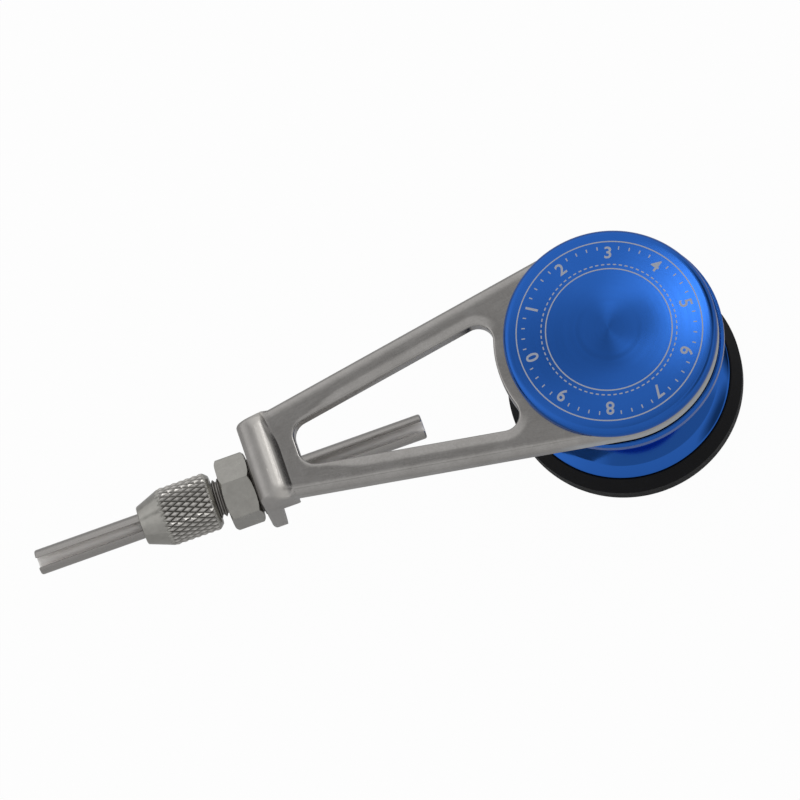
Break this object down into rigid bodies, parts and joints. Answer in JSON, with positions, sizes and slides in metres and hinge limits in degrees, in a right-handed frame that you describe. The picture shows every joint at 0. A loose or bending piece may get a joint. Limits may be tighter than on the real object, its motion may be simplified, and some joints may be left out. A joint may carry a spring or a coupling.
{
  "type": "fishing line winder",
  "caption": "Hand winder for braiding fishing line: a waisted spool on a bent steel arm, with a drag knob and a slotted line tube held in a collet.",
  "frame": {"origin": "where the axle's axis meets the plane that the rubber ring stands on", "axes": "+Z along the axle towards the drag knob; -X from the axle to the tip of the line tube; +Y completes the right-handed set"},
  "size_m": [0.1123, 0.0364, 0.0304],
  "materials": {
    "stainless_satin": "satin, tumbled and hand polished",
    "stainless_turned": "turned, knurled where gripped",
    "stainless_polished": "polished",
    "blue_anodised": "turned and blue anodised, satin sheen",
    "black_rubber": "matte moulded",
    "drag_fibre": "matte",
    "brass_insert": "turned",
    "bronze_bush": "sintered, oiled",
    "spring_steel": "bright"
  },
  "bodies": {
    "frame": {"frame": "stainless_satin", "axle_bolt": "stainless_turned", "front_drag_washer": "drag_fibre", "rear_thrust_washer": "stainless_turned", "rear_drag_washer": "drag_fibre", "disc_springs": "spring_steel", "collet_stud": "stainless_turned", "lock_washer": "stainless_turned", "lock_nut": "stainless_turned"},
    "spool": {"spool": "blue_anodised", "front_bush": "bronze_bush", "rear_bush": "bronze_bush", "rear_cap": "blue_anodised", "rubber_ring": "black_rubber"},
    "pressure": {"pressure_washer": "stainless_satin"},
    "knob": {"drag_knob": "blue_anodised", "knob_insert": "brass_insert"},
    "collet": {"split_collet": "stainless_turned"},
    "cap": {"collet_cap": "stainless_turned"},
    "tube": {"line_tube": "stainless_polished"}
  },
  "joints": [
    {"name": "spool_spin", "type": "hinge", "parent": "frame", "child": "spool", "pos_m": [0, 0, 0.015], "axis": [0, 0, 1], "continuous": true},
    {"name": "knob_turn", "type": "hinge", "parent": "pressure", "child": "knob", "pos_m": [0, 0, 0.028], "axis": [0, 0, 1], "range_deg": [0, 540]},
    {"name": "pressure_slide", "type": "slide", "parent": "frame", "child": "pressure", "axis": [0, 0, 1], "range_m": [0, 0.00075], "deforming": ["disc_springs"]},
    {"name": "cap_turn", "type": "hinge", "parent": "collet", "child": "cap", "pos_m": [-0.07, 0, 0.0155], "axis": [-1, 0, 0], "range_deg": [0, 720]},
    {"name": "collet_slide", "type": "slide", "parent": "frame", "child": "collet", "axis": [-1, 0, 0], "range_m": [0, 0.0015]},
    {"name": "tube_slide", "type": "slide", "parent": "frame", "child": "tube", "axis": [-1, 0, 0], "range_m": [-0.011, 0.018]}
  ],
  "couplings": [
    {"joint": "knob_turn", "follows": "pressure_slide", "rad_per_m": 12566},
    {"joint": "cap_turn", "follows": "collet_slide", "rad_per_m": 8377.5}
  ]
}
